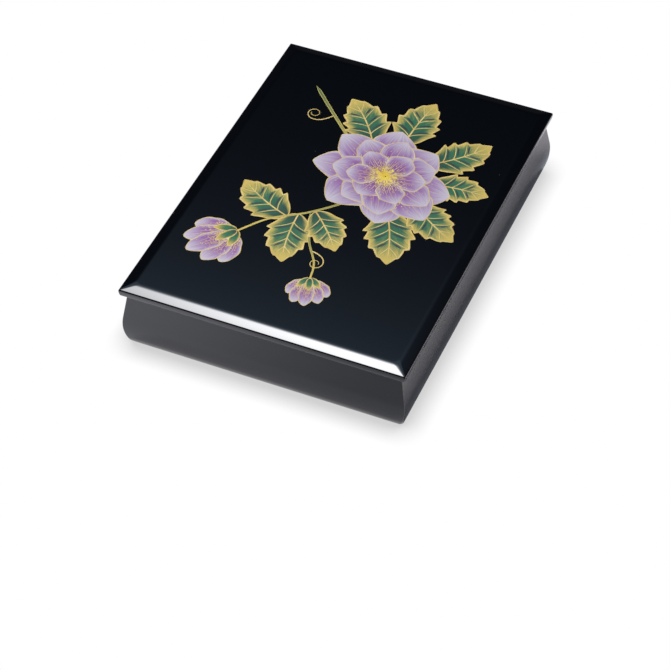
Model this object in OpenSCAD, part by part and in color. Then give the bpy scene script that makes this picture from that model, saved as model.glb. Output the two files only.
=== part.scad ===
// Document box for A4 papers in black lacquer: four mitred walls with a soft belly,
// a bottom panel held in grooves, and a bevelled lid board that lifts straight off.
// Millimetres, +Z up. The origin lies on the table under the middle of the box,
// and the short front side faces -Y.

/* [Overall] */
// Width of the lid, side to side
lid_w = 250; // [220:1:320]
// Depth of the lid, front to back
lid_d = 340; // [300:1:440]
// Height of the closed box
box_h = 66; // [54:1:120]

/* [Lid board] */
// Height of the lid's upright edge
lid_edge_h = 6.8; // [5:0.1:12]
// Width of the bevel round the flat top
bevel_w = 8.6; // [5:0.1:20]
// Rise of the bevel from the upright edge to the flat top
bevel_rise = 2; // [1:0.1:4]
// Radius of the arris between the upright edge and the bevel
arris_r = 1.8; // [0.5:0.1:3]
// Radius of the soft crest between the bevel and the flat top
crest_r = 13; // [4:1:25]
// Radius of the arris under the upright edge
under_r = 1; // [0.3:0.1:2]

/* [Walls] */
// Thickness of the walls at their rim
wall_t = 9; // [7:0.5:14]
// Overhang of the lid past the rim of the walls
lid_overhang = 5.3; // [2:0.1:12]
// Lean of the upper flank, in degrees from upright
flank_lean = 9.5; // [4:0.5:14]
// Height of the widest line above the table
belly_h = 22; // [18:1:30]
// Radius of the belly
belly_r = 60; // [40:1:90]
// Radius that turns the belly in under the box
foot_r = 9; // [4:0.5:11]
// Radius of the inner arris of the rim
mouth_r = 1; // [0.3:0.1:2]

/* [Bottom panel] */
// Thickness of the bottom panel
bottom_t = 5; // [4:0.5:8]
// Height of the panel's underside above the table
bottom_lift = 4; // [3:0.5:8]
// Depth of the groove that holds the panel
groove_d = 4; // [3:0.5:6]
// Room above the panel in its groove
groove_clear = 0.1; // [0.05:0.05:0.3]
// Room past the panel's edge in its groove
panel_clear = 0.3; // [0.1:0.1:1]

/* [Floor lining] */
// Thickness of the felt on the floor
lining_t = 1; // [0.5:0.1:3]
// Gap between the felt and the walls
lining_clear = 0.5; // [0.2:0.1:2]

/* [Corner keys] */
// Thickness of the loose key in each mitre
key_t = 2.5; // [1.5:0.1:3.5]
// Width of the key across the mitre
key_w = 7; // [5:0.5:8]
// Wood left between the panel's groove and the key
key_bed = 4; // [2:0.5:10]
// Wood left between the key and the rim
key_cover = 8; // [4:0.5:15]
// Room round the key in its slot
key_clear = 0.05; // [0.02:0.01:0.2]

/* [Lid strips] */
// Thickness of the strips under the lid
strip_t = 8; // [5:0.5:12]
// Height of the strips under the lid
strip_h = 7; // [4:0.5:15]
// Gap between the strips and the walls
strip_clear = 0.8; // [0.3:0.1:2]
// Chamfer that leads the strips into the box
strip_lead = 1.5; // [0.5:0.1:3]

/* [Lid pegs] */
// Diameter of the pegs that fix the strips
peg_d = 2.5; // [2:0.1:4]
// Depth of the pegs in the lid board
peg_grip = 4.5; // [3:0.5:5]
// Number of pegs in each long strip
peg_count_long = 4; // [2:1:8]
// Number of pegs in each short strip
peg_count_short = 3; // [2:1:6]
// Distance of the end pegs from the strip's inner corner
peg_end = 25; // [12:1:40]
// Room round a peg in its hole
peg_clear = 0.05; // [0.02:0.01:0.1]

/* [Curves] */
// Most that the chords of a curved outline stay inside their arc
chord_sag = 0.01; // [0.005:0.005:0.05]

/* [Hidden] */
// Facets on the pegs and their holes
$fn = 64;
// Run of the cutters past the faces that they cut
past = 1;

// Heights of the rim, the lid's upper arris and the floor under the felt
body_h = box_h - lid_edge_h - bevel_rise;
edge_top = body_h + lid_edge_h;
floor_h = bottom_lift + bottom_t;

// Clear inside of the walls
inner_w = lid_w - 2 * (lid_overhang + wall_t);
inner_d = lid_d - 2 * (lid_overhang + wall_t);

// Outer line of a wall, outward from its inner face: the straight flank runs down into the
// belly at flank_h, and the belly turns through foot_turn below its widest line into the foot
flank_h = belly_h + belly_r * sin(flank_lean);
belly_out = wall_t + belly_r * (1 - cos(flank_lean)) + (body_h - flank_h) * tan(flank_lean);
foot_turn = asin((belly_h - foot_r) / (belly_r - foot_r));
foot_out = belly_out - belly_r + (belly_r - foot_r) * cos(foot_turn);

// Keys, from above the panel's groove to below the rim
key_low = floor_h + groove_clear + key_bed;
key_h = body_h - key_cover - key_low;

// Lid strips, inside the walls
strip_low = body_h - strip_h;
strip_in = strip_clear + strip_t;

// The box's sides, with the turn about Z that brings a piece drawn at the back to each of them
FRONT = "front";
BACK = "back";
LEFT = "left";
RIGHT = "right";
function is_short(side) = side == FRONT || side == BACK;
function side_turn(side) = side == FRONT ? 180 : side == LEFT ? 90 : side == RIGHT ? -90 : 0;
// Distance of a wall's inner face from the middle, and that face's length
function side_reach(side) = (is_short(side) ? inner_d : inner_w) / 2;
function side_run(side) = is_short(side) ? inner_w : inner_d;
function peg_count(side) = is_short(side) ? peg_count_short : peg_count_long;

lacquer = "#0d0e12";
inside_lacquer = "#15151a";
bare_wood = "#c9a66b";
felt = "#2c2c36";

// Points along an arc from one angle to another; its last point is left out where it is shared
function arc(x, h, r, from, to, shared = false) =
    let (steps = ceil(abs(to - from) / (2 * acos(1 - chord_sag / r))))
    [for (i = [0 : steps - (shared ? 1 : 0)])
        let (turn = from + (to - from) * i / steps)
        [x + r * cos(turn), h + r * sin(turn)]];

// A moulding whose profile has x outward and y up, with mitred ends; run is its inner length
module mitred(run, reach) {
    intersection() {
        rotate([90, 0, 90])
            linear_extrude(run + 2 * reach, center = true) children();
        translate([0, 0, -past])
            linear_extrude(box_h + 2 * past)
                polygon([
                    [past - run / 2, -past], [run / 2 - past, -past],
                    [run / 2 + reach, reach], [-run / 2 - reach, reach]
                ]);
    }
}

// Puts its children, drawn outward along +Y, on a side and a little inside the wall's face
module on_side(side, inset = 0) {
    rotate([0, 0, side_turn(side)]) translate([0, side_reach(side) - inset, 0]) children();
}

// Section of a wall: foot, belly, straight flank, the rim's inner arris and the panel's groove
module wall_profile() {
    groove_top = floor_h + groove_clear;
    polygon(concat(
        [[0, 0]],
        arc(foot_out, foot_r, foot_r, -90, -foot_turn, shared = true),
        arc(belly_out - belly_r, belly_h, belly_r, -foot_turn, flank_lean),
        [[wall_t, body_h]],
        arc(mouth_r, body_h - mouth_r, mouth_r, 90, 180),
        [[0, groove_top], [groove_d, groove_top], [groove_d, bottom_lift], [0, bottom_lift]]
    ));
}

// A key across a mitre, or with room added, its slot; corner is [-1 or 1, -1 or 1] for x and y
module key_block(corner, room = 0) {
    size = [key_w + 2 * room, key_t + 2 * room, key_h + 2 * room];
    translate([corner.x * (inner_w + wall_t) / 2, corner.y * (inner_d + wall_t) / 2, key_low - room])
        rotate([0, 0, -45 * corner.x * corner.y])
            translate([-size.x / 2, -size.y / 2, 0]) cube(size);
}

module wall(side) {
    color(lacquer)
        difference() {
            on_side(side) mitred(side_run(side), belly_out + past) wall_profile();
            for (x = [-1, 1], y = [-1, 1]) key_block([x, y], key_clear);
        }
}

module corner_key(corner) {
    color(bare_wood) key_block(corner);
}

module bottom_panel() {
    grow = groove_d - panel_clear;
    color(inside_lacquer)
        translate([-inner_w / 2 - grow, -inner_d / 2 - grow, bottom_lift])
            cube([inner_w + 2 * grow, inner_d + 2 * grow, bottom_t]);
}

module floor_lining() {
    color(felt)
        translate([lining_clear - inner_w / 2, lining_clear - inner_d / 2, floor_h])
            cube([inner_w - 2 * lining_clear, inner_d - 2 * lining_clear, lining_t]);
}

// Section of the lid board of a half width: lower arris, upright edge, upper arris, bevel and crest
module lid_profile(half) {
    bevel = atan(bevel_rise / bevel_w);
    arris_run = arris_r * tan((90 - bevel) / 2);
    crest_run = crest_r * tan(bevel / 2);
    edge = concat(
        arc(half - under_r, body_h + under_r, under_r, -90, 0),
        arc(half - arris_r, edge_top - arris_run, arris_r, 0, 90 - bevel),
        arc(half - bevel_w - crest_run, box_h - crest_r, crest_r, 90 - bevel, 90)
    );
    polygon(concat(edge, [for (i = [len(edge) - 1 : -1 : 0]) [-edge[i].x, edge[i].y]]));
}

// The pegs of one side's strip, or with room added, their holes from below the strip
module side_pegs(side, room = 0, below = 0) {
    count = peg_count(side);
    reach = side_run(side) / 2 - strip_in - peg_end;
    on_side(side, strip_clear + strip_t / 2)
        for (i = [0 : count - 1])
            translate([reach * (2 * i / (count - 1) - 1), 0, strip_low - below])
                cylinder(d = peg_d + 2 * room, h = strip_h + peg_grip + room + below);
}

module peg_holes() {
    for (side = [FRONT, BACK, LEFT, RIGHT]) side_pegs(side, peg_clear, past);
}

module lid_board() {
    color(lacquer)
        difference() {
            intersection() {
                rotate([90, 0, 0])
                    linear_extrude(lid_d + 2 * past, center = true) lid_profile(lid_w / 2);
                rotate([90, 0, 90])
                    linear_extrude(lid_w + 2 * past, center = true) lid_profile(lid_d / 2);
            }
            peg_holes();
        }
}

module lid_strip(side) {
    color(inside_lacquer)
        difference() {
            on_side(side, strip_in)
                mitred(side_run(side) - 2 * strip_in, strip_t + past)
                    polygon([
                        [0, strip_low], [strip_t - strip_lead, strip_low],
                        [strip_t, strip_low + strip_lead], [strip_t, body_h], [0, body_h]
                    ]);
            peg_holes();
        }
}

module lid_pegs() {
    color(bare_wood)
        for (side = [FRONT, BACK, LEFT, RIGHT]) side_pegs(side);
}

wall(FRONT);  // front_wall
wall(BACK);  // back_wall
wall(LEFT);  // left_wall
wall(RIGHT);  // right_wall
bottom_panel();
corner_key([-1, -1]);  // corner_key_front_left
corner_key([1, -1]);  // corner_key_front_right
corner_key([-1, 1]);  // corner_key_back_left
corner_key([1, 1]);  // corner_key_back_right
floor_lining();
lid_board();
lid_strip(FRONT);  // lid_strip_front
lid_strip(BACK);  // lid_strip_back
lid_strip(LEFT);  // lid_strip_left
lid_strip(RIGHT);  // lid_strip_right
lid_pegs();
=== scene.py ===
"""Dressed scene of a black lacquered document box with a painted spray on its lid.

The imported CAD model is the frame. The walls, lid, strips and lining are drawn again as smooth surfaces in the
places of their CAD nodes, and the spray lies on the lid as thin films and raised lines.
Lengths are metres, and MM turns millimetres into metres. The box stands on z = 0, its short front towards -Y.
"""
from __future__ import annotations

import logging
import math
from dataclasses import dataclass, field
from enum import Enum
from functools import cache
from typing import Any, Callable

import bmesh
import bpy
import numpy as np
from mathutils import Matrix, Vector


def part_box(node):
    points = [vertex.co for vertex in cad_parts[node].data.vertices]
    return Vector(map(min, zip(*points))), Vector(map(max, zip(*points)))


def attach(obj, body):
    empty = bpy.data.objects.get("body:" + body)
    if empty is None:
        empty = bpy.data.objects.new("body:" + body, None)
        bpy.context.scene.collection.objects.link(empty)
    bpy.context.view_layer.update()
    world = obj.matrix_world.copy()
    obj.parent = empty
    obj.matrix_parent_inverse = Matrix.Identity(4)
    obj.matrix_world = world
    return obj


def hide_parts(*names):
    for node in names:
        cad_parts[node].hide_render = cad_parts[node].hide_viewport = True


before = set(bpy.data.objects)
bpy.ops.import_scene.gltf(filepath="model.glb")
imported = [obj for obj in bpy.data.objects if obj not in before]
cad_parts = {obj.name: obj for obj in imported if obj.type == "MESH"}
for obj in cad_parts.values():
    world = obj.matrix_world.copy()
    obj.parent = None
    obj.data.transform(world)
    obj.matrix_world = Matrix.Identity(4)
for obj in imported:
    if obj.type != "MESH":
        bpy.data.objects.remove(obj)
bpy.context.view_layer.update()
LOG = logging.getLogger("document_box")

Array = np.ndarray
Point = tuple[float, float]
Triple = tuple[float, float, float]
Colour = tuple[float, float, float, float]
Material = bpy.types.Material
Node = bpy.types.Node
Socket = bpy.types.NodeSocket
Tree = bpy.types.NodeTree

MM = 0.001
# Millimetres that the spray's coats take above the board, inside the lid's full height
RELIEF = 0.3
# Gap from the end of a straight line to the support point that keeps its shading flat
SUPPORT = 0.6 * MM
# Light on the lid, by which the screen colours of its pigments are divided
LID_LIGHT = 2.05
BLACK = (0.0, 0.0, 0.0, 1.0)
WHITE = (1.0, 1.0, 1.0, 1.0)


class Side(Enum):
    """A side of the box; the value is the turn about Z, in degrees, from the back side to it."""

    BACK = 0.0
    LEFT = 90.0
    FRONT = 180.0
    RIGHT = -90.0

    @property
    def is_short(self) -> bool:
        """True for the front and the back, whose walls run along X."""
        return self in (Side.FRONT, Side.BACK)

    def turn(self, points: Array) -> Array:
        """Points of shape (..., 3) drawn for the back side, turned about Z to this side."""
        c, s = math.cos(math.radians(self.value)), math.sin(math.radians(self.value))
        return points @ np.array([(c, s, 0.0), (-s, c, 0.0), (0.0, 0.0, 1.0)])


class Body(Enum):
    """The two CAD bodies that pieces ride on."""

    BOX = "box"
    LID = "lid"


class Slot(Enum):
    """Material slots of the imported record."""

    BLACK = "black_lacquer"
    INSIDE = "inside_lacquer"
    FELT = "felt"
    GOLD = "gold_line"
    PIGMENT = "flower_pigment"


class Edge(Enum):
    """Kinds of surface, by the angle in degrees above which an edge is sharp."""

    MOULDED = 32.0
    BROAD = 50.0
    SOFT = 60.0
    LINE = 70.0


# Plane curves

def arc(centre: Point, radius: float, start: float, end: float, count: int) -> Array:
    """Points of a circular arc: centre + radius (cos a, sin a), with a in even steps.

    Args:
        centre: middle of the circle.
        radius: its radius.
        start: first angle in degrees.
        end: last angle in degrees.
        count: number of points.

    Returns:
        Array of shape (count, 2).
    """
    a = np.radians(np.linspace(start, end, count))
    return np.stack([centre[0] + radius * np.cos(a), centre[1] + radius * np.sin(a)], axis=-1)


def fillet(before: Point, corner: Point, after: Point, radius: float, count: int = 6) -> Array:
    """Points of the arc that rounds a corner, touching the lines to the points before and after it.

    The centre lies on the bisector at radius / sin(half the corner's angle).

    Args:
        before: a point on the line that comes in.
        corner: the sharp corner.
        after: a point on the line that goes out.
        radius: radius of the rounding.
        count: number of points.

    Returns:
        Array of shape (count, 2), from the incoming line to the outgoing one.
    """
    q = np.array(corner, float)
    p1 = np.array(before, float) - q
    p2 = np.array(after, float) - q
    p1 /= np.linalg.norm(p1)
    p2 /= np.linalg.norm(p2)
    half = 0.5 * math.acos(float(np.clip(p1 @ p2, -1.0, 1.0)))
    middle = q + (p1 + p2) / np.linalg.norm(p1 + p2) * radius / math.sin(half)
    s1 = q + p1 * radius / math.tan(half) - middle
    s2 = q + p2 * radius / math.tan(half) - middle
    first = math.atan2(s1[1], s1[0])
    sweep = (math.atan2(s2[1], s2[0]) - first + math.pi) % (2 * math.pi) - math.pi
    return arc(tuple(middle), radius, math.degrees(first), math.degrees(first + sweep), count)


def beside(point: Array, towards: Array) -> Array:
    """A single support point on a straight line, a small gap from its end."""
    step = towards - point
    return (point + step * SUPPORT / np.linalg.norm(step))[None]


def smooth_path(knots: list[Point], count: int) -> Array:
    """A smooth path of cubic pieces, whose slope at a knot is half the step between its neighbours.

    Args:
        knots: points that the path goes through.
        count: number of points on the path.

    Returns:
        Array of shape (count, 2).
    """
    k = np.array(knots, float)
    slope = np.gradient(k, axis=0)
    t = np.linspace(0.0, len(k) - 1.0, count)
    i = np.minimum(t.astype(int), len(k) - 2)
    f = (t - i)[:, None]
    h00 = 2 * f ** 3 - 3 * f ** 2 + 1
    h10 = f ** 3 - 2 * f ** 2 + f
    h01 = 3 * f ** 2 - 2 * f ** 3
    h11 = f ** 3 - f ** 2
    return h00 * k[i] + h10 * slope[i] + h01 * k[i + 1] + h11 * slope[i + 1]


# Surfaces

@dataclass
class Tubes:
    """Closed tubes of one kind: rings of points in rows, with a flat cap on the first and the last ring.

    points has the shape (tubes, rows, ring, 3). uv, tone and wear are values of the points, of any shape that
    fits, and slots gives the material index of each strip of faces round the ring.
    """

    points: Array
    uv: Array | float = 0.0
    tone: Array | float = 0.0
    wear: Array | float = 0.0
    slots: Array | int = 0

    def values(self, label: str, width: int) -> Array:
        """One kind of value of all points, shape (points, width)."""
        shape = self.points.shape[:3] + (width,)
        return np.broadcast_to(getattr(self, label), shape).reshape(-1, width).astype(np.float32)

    def faces(self, base: int) -> tuple[list[list[int]], list[int]]:
        """The faces: the quads of the strips and then the caps.

        Args:
            base: number of the first point.

        Returns:
            Point numbers of every face, and the material index of every face.
        """
        tubes, rows, ring = self.points.shape[:3]
        number = base + np.arange(tubes * rows * ring).reshape(tubes, rows, ring)
        nxt = np.roll(number, -1, axis=2)
        quads = np.stack([number[:, :-1], nxt[:, :-1], nxt[:, 1:], number[:, 1:]], axis=-1)
        caps = np.stack([number[:, 0, ::-1], number[:, -1]], axis=1)
        slots = np.broadcast_to(self.slots, quads.shape[:3]).ravel().tolist() + [0] * (2 * tubes)
        return quads.reshape(-1, 4).tolist() + caps.reshape(-1, ring).tolist(), slots


def make_mesh(name: str, tubes: list[Tubes], edge: Edge) -> bpy.types.Mesh:
    """One mesh of several sets of tubes, smooth but for its sharp edges.

    Args:
        name: the mesh's name.
        tubes: sets of tubes to join.
        edge: kind of surface.

    Returns:
        The new mesh, its faces pointing outwards.
    """
    kinds = (("points", 3), ("uv", 2), ("tone", 1), ("wear", 1))
    points, uv, tone, wear = (np.concatenate([t.values(*kind) for t in tubes]) for kind in kinds)
    faces, slots, base = [], [], 0
    for t in tubes:
        more, indices = t.faces(base)
        faces += more
        slots += indices
        base += t.points[..., 0].size
    mesh = bpy.data.meshes.new(name)
    mesh.from_pydata(points.tolist(), [], faces)
    mesh.polygons.foreach_set("material_index", slots)
    corners = np.empty(len(mesh.loops), np.int32)
    mesh.loops.foreach_get("vertex_index", corners)
    mesh.uv_layers.new(name="along").data.foreach_set("uv", uv[corners].ravel())
    for label, values in (("tone", tone), ("wear", wear)):
        mesh.attributes.new(label, "FLOAT", "POINT").data.foreach_set("value", values.ravel())
    mesh.validate()
    shell = bmesh.new()
    shell.from_mesh(mesh)
    bmesh.ops.recalc_face_normals(shell, faces=shell.faces)
    shell.to_mesh(mesh)
    shell.free()
    mesh.shade_smooth()
    mesh.set_sharp_from_angle(angle=math.radians(edge.value))
    return mesh


def make_piece(name: str, body: Body, tubes: list[Tubes], materials: list[Material],
               edge: Edge, replaces: tuple[str, ...] = ()) -> bpy.types.Object:
    """A finished piece: its mesh, its materials, the body it rides on and the nodes it stands for.

    Args:
        name: the piece's name.
        body: the CAD body it moves with.
        tubes: its surfaces.
        materials: materials, in the order of the tubes' slots.
        edge: kind of surface.
        replaces: CAD nodes that it stands for.

    Returns:
        The new object.
    """
    obj = bpy.data.objects.new(name, make_mesh(name, tubes, edge))
    bpy.context.scene.collection.objects.link(obj)
    for material in materials:
        obj.data.materials.append(material)
    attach(obj, body.value)
    if replaces:
        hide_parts(*replaces)
    counts = len(obj.data.vertices), len(obj.data.polygons)
    LOG.info("%s: %d points, %d faces on %s", name, *counts, body.value)
    return obj


def dress_node(name: str, material: Material) -> None:
    """Gives a CAD node that stays in the scene its material."""
    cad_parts[name].data.materials.clear()
    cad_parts[name].data.materials.append(material)


# Shader graphs

FLOAT = "NodeSocketFloat"
VECTOR = "NodeSocketVector"
# Usual range of a noise
NOISE_LOW = 0.3
NOISE_HIGH = 0.7


class Graph:
    """A hand for wiring the nodes of one tree."""

    def __init__(self, tree: Tree) -> None:
        """Takes the tree to wire."""
        self.tree = tree

    def add(self, kind: str, inputs: dict[str | int, Any] | None = None, **settings: Any) -> Node:
        """A new node with its settings and inputs.

        Args:
            kind: node type without the "ShaderNode" at its front.
            inputs: values or sockets for the node's inputs, by name or number.
            settings: the node's own properties.

        Returns:
            The node.
        """
        node = self.tree.nodes.new("ShaderNode" + kind)
        for key, value in settings.items():
            setattr(node, key, value)
        for key, value in (inputs or {}).items():
            self.feed(node.inputs[key], value)
        return node

    def feed(self, socket: Socket, value: Any) -> None:
        """Links a socket to an input, or sets the input's own value.

        Args:
            socket: the input.
            value: a socket or a plain value.
        """
        if isinstance(value, Socket):
            self.tree.links.new(value, socket)
        else:
            socket.default_value = value

    def place(self) -> Socket:
        """Place on the piece, in metres."""
        return self.add("TexCoord").outputs["Object"]

    def axes(self, vector: Socket) -> list[Socket]:
        """The x, y and z of a vector."""
        return list(self.add("SeparateXYZ", {0: vector}).outputs)

    def math(self, operation: str, *values: Any) -> Socket:
        """Result of a Math node."""
        return self.add("Math", dict(enumerate(values)), operation=operation).outputs[0]

    def times(self, a: Any, b: Any) -> Socket:
        """Product of two numbers."""
        return self.math("MULTIPLY", a, b)

    def blend(self, a: Any, b: Any, share: float) -> Socket:
        """The sum of two numbers, share of the first and the rest of the second."""
        return self.math("ADD", self.times(a, share), self.times(b, 1.0 - share))

    def vector(self, operation: str, *values: Any) -> Socket:
        """Result of a Vector Math node, as a number for a length or a dot product."""
        node = self.add("VectorMath", dict(enumerate(values)), operation=operation)
        return node.outputs["Value" if operation in ("LENGTH", "DOT_PRODUCT") else "Vector"]

    def ramp(self, value: Any, low: float, high: float, to_low: float = 0.0, to_high: float = 1.0,
             kind: str = "SMOOTHSTEP") -> Socket:
        """A value brought from one range to another, held at the ends."""
        names = {"Value": value, "From Min": low, "From Max": high, "To Min": to_low, "To Max": to_high}
        return self.add("MapRange", names, interpolation_type=kind).outputs[0]

    def spread(self, noise: Any, low: float = 0.0, high: float = 1.0) -> Socket:
        """A noise brought from its usual range to another one."""
        return self.ramp(noise, NOISE_LOW, NOISE_HIGH, low, high)

    def mix(self, factor: Any, a: Any, b: Any) -> Socket:
        """Colour a mixed towards colour b."""
        return self.add("Mix", {0: factor, 6: a, 7: b}, data_type="RGBA").outputs[2]

    def noise(self, vector: Any, scale: Any, detail: float = 2.0) -> Socket:
        """Value of a noise texture."""
        return self.add("TexNoise", {"Vector": vector, "Scale": scale, "Detail": detail}).outputs[0]


class MaterialGraph(Graph):
    """Graph of a new material with a Principled BSDF."""

    def __init__(self, name: str) -> None:
        """Makes the material.

        Args:
            name: the material's name.
        """
        self.material = bpy.data.materials.new(name)
        self.material.use_nodes = True
        super().__init__(self.material.node_tree)
        self.shader = self.tree.nodes["Principled BSDF"]

    def put(self, values: dict[str, Any]) -> None:
        """Feeds or sets inputs of the shader, by name."""
        for name, value in values.items():
            self.feed(self.shader.inputs[name], value)

    def dress(self, colour: Any, rough: Any, height: Any, strength: float, depth: float) -> Material:
        """Feeds colour, roughness and a bump to the shader.

        Args:
            colour: base colour.
            rough: roughness.
            height: height that the bump follows.
            strength: strength of the bump.
            depth: depth of the bump in metres.

        Returns:
            The material.
        """
        bump = self.add("Bump", {"Strength": strength, "Distance": depth, "Height": height})
        self.put({"Base Color": colour, "Roughness": rough, "Normal": bump.outputs[0]})
        return self.material


def make_group(name: str, inputs: dict[str, str], outputs: tuple[str, ...],
               fill: Callable[[Graph, Any], tuple[Socket, ...]]) -> Tree:
    """A shader node group with named sockets.

    Args:
        name: the group's name.
        inputs: socket kinds by input name.
        outputs: names of the outputs, all of them numbers.
        fill: wires the nodes from the group's inputs, and gives the sockets for the outputs.

    Returns:
        The group's tree.
    """
    tree = bpy.data.node_groups.new(name, "ShaderNodeTree")
    for label, kind in inputs.items():
        tree.interface.new_socket(label, in_out="INPUT", socket_type=kind)
    for label in outputs:
        tree.interface.new_socket(label, in_out="OUTPUT", socket_type=FLOAT)
    g = Graph(tree)
    made = fill(g, tree.nodes.new("NodeGroupInput").outputs)
    sink = tree.nodes.new("NodeGroupOutput")
    for label, socket in zip(outputs, made):
        g.feed(sink.inputs[label], socket)
    return tree


@cache
def lacquer_skin() -> Tree:
    """Group for polished lacquer: slow waves left by the rubbing stone, patches of polish and stray dust.

    Returns:
        A group with the outputs Peel (height), Polish (0 to 1) and Dust (mask).
    """
    peel_scale, polish_scale = 140.0, 26.0
    speck_core, speck_edge, bare_share = 0.012, 0.02, 0.55

    def fill(g: Graph, given: Any) -> tuple[Socket, ...]:
        """Peel and Polish are noise, and Dust is the middle of some cells of a sparse Voronoi.

        Args:
            g: the group's graph.
            given: the group's inputs.

        Returns:
            Sockets for the outputs.
        """
        cell = g.add("TexVoronoi", {"Vector": given["Place"], "Scale": given["Specks"]}).outputs
        near = g.ramp(cell["Distance"], speck_core, speck_edge, 1.0, 0.0)
        chance = g.add("SeparateColor", {0: cell["Color"]}).outputs[0]
        dust = g.times(near, g.math("GREATER_THAN", chance, bare_share))
        return g.noise(given["Place"], peel_scale, 1.0), g.noise(given["Place"], polish_scale, 4.0), dust

    return make_group("lacquer_skin", {"Place": VECTOR, "Specks": FLOAT}, ("Peel", "Polish", "Dust"), fill)


@cache
def brush_streaks() -> Tree:
    """Group for paint laid with a brush: streaks that run along a stroke and change fast across it.

    Returns:
        A group with the output Streak (0 to 1).
    """
    scales = {"Along": 3.0, "Across": 46.0, "Seed": 17.0}

    def fill(g: Graph, given: Any) -> tuple[Socket, ...]:
        """Streak is noise on the scaled inputs."""
        scaled = [g.times(given[name], scale) for name, scale in scales.items()]
        return (g.noise(g.add("CombineXYZ", dict(enumerate(scaled))).outputs[0], 1.0, 3.0),)

    return make_group("brush_streaks", {name: FLOAT for name in scales}, ("Streak",), fill)


@cache
def wood_grain() -> Tree:
    """Group for bare wood and bamboo: fibres drawn out along Z, over slow bands.

    Returns:
        A group with the output Grain (0 to 1).
    """
    squeeze, band_scale, fine_share = (1.0, 1.0, 0.06), 60.0, 0.65

    def fill(g: Graph, given: Any) -> tuple[Socket, ...]:
        """Grain is noise on the place squeezed along Z, plus a third of noise in slow bands."""
        fine = g.noise(g.vector("MULTIPLY", given["Place"], squeeze), given["Fineness"], 3.0)
        return (g.blend(fine, g.noise(given["Place"], band_scale, 1.0), fine_share),)

    return make_group("wood_grain", {"Place": VECTOR, "Fineness": FLOAT}, ("Grain",), fill)


# Finishes

def tint(red: int, green: int, blue: int) -> Colour:
    """A pigment's linear colour from screen values of 0 to 255, divided by the light on the lid."""
    return tuple((c / 255.0) ** 2.2 / LID_LIGHT for c in (red, green, blue)) + (1.0,)


@dataclass(frozen=True)
class LacquerFinish:
    """Black lacquer over a brown undercoat that shows faintly along the arrises."""

    name: str
    colour: Colour
    undercoat: Colour
    rough: Point
    bump: Point
    specks: float
    dust: Colour = (0.32, 0.33, 0.35, 1.0)
    dust_cover: float = 0.12
    dust_rough: float = 0.2

    def build(self) -> Material:
        """Colour from wear and dust, roughness from the polish, bump from the slow waves.

        Returns:
            The material.
        """
        g = MaterialGraph(self.name)
        skin = g.add("Group", {"Place": g.place(), "Specks": self.specks}, node_tree=lacquer_skin()).outputs
        wear = g.add("Attribute", attribute_name="wear").outputs["Fac"]
        coat = g.mix(g.times(wear, skin["Polish"]), self.colour, self.undercoat)
        dusted = g.mix(g.times(skin["Dust"], self.dust_cover), coat, self.dust)
        rough = g.math("MULTIPLY_ADD", skin["Dust"], self.dust_rough, g.spread(skin["Polish"], *self.rough))
        g.put({"IOR": 1.5})
        return g.dress(dusted, rough, skin["Peel"], *self.bump)


@dataclass(frozen=True)
class FeltFinish:
    """Pressed felt: short fibres in all directions, with painted shade that darkens the hollows between them.
    """

    name: str = "felt_lining"
    deep: Colour = (0.006, 0.007, 0.011, 1.0)
    pale: Colour = (0.038, 0.04, 0.054, 1.0)
    fleck: Colour = (0.11, 0.11, 0.13, 1.0)
    sway: Triple = (4 * MM, 4 * MM, 0.0)
    sway_scale: float = 240.0
    fibre_scale: float = 520.0
    fibre_width: float = 0.16
    fibre_share: float = 0.6
    fleck_scale: float = 190.0
    fleck_at: float = 0.62
    fleck_width: float = 0.012
    fleck_cover: float = 0.6
    cloud_scale: float = 60.0
    pale_range: Point = (0.25, 0.75)
    rough: Point = (0.9, 1.0)
    bump: Point = (0.8, 0.4 * MM)

    def build(self) -> Material:
        """Colour and bump from matted fibres over slow clouds, with a few paler fibres on top.

        Colour and bump from matted fibres over slow clouds, with a few paler fibres on top. The colour is pale
        on the fibres' ridges and deep in the hollows, painted shade.

        Returns:
            The material.
        """
        g = MaterialGraph(self.name)
        place = g.place()
        sway = g.add("TexNoise", {"Vector": place, "Scale": self.sway_scale, "Detail": 2.0}).outputs["Color"]
        bent = g.vector("MULTIPLY_ADD", sway, self.sway, place)
        ridge = g.math("ABSOLUTE", g.math("SUBTRACT", g.noise(bent, self.fibre_scale, 3.0), 0.5))
        fibre = g.ramp(ridge, 0.0, self.fibre_width, 1.0, 0.0)
        cloud = g.noise(place, self.cloud_scale, 3.0)
        # Painted shade: pale on the fibre ridges and deep in the hollows between them, blended with slow clouds
        # of the felt's own tone.
        body = g.mix(g.ramp(g.blend(fibre, cloud, self.fibre_share), *self.pale_range), self.deep, self.pale)
        crest = g.math("ABSOLUTE", g.math("SUBTRACT", g.noise(bent, self.fleck_scale, 1.0), self.fleck_at))
        stray = g.ramp(crest, 0.0, self.fleck_width, self.fleck_cover, 0.0)
        g.put({"Sheen Weight": 0.1, "Sheen Roughness": 0.6})
        return g.dress(g.mix(stray, body, self.fleck), g.spread(cloud, *self.rough), fibre, *self.bump)


@dataclass(frozen=True)
class WoodFinish:
    """Bare wood or bamboo."""

    name: str
    dark: Colour
    pale: Colour
    fineness: float
    rough: Point = (0.6, 0.45)
    bump: Point = (0.3, 0.1 * MM)

    def build(self) -> Material:
        """Colour, roughness and bump from the grain.

        Returns:
            The material.
        """
        g = MaterialGraph(self.name)
        inputs = {"Place": g.place(), "Fineness": self.fineness}
        grain = g.add("Group", inputs, node_tree=wood_grain()).outputs[0]
        colour = g.mix(g.spread(grain), self.dark, self.pale)
        return g.dress(colour, g.spread(grain, *self.rough), grain, *self.bump)


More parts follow.
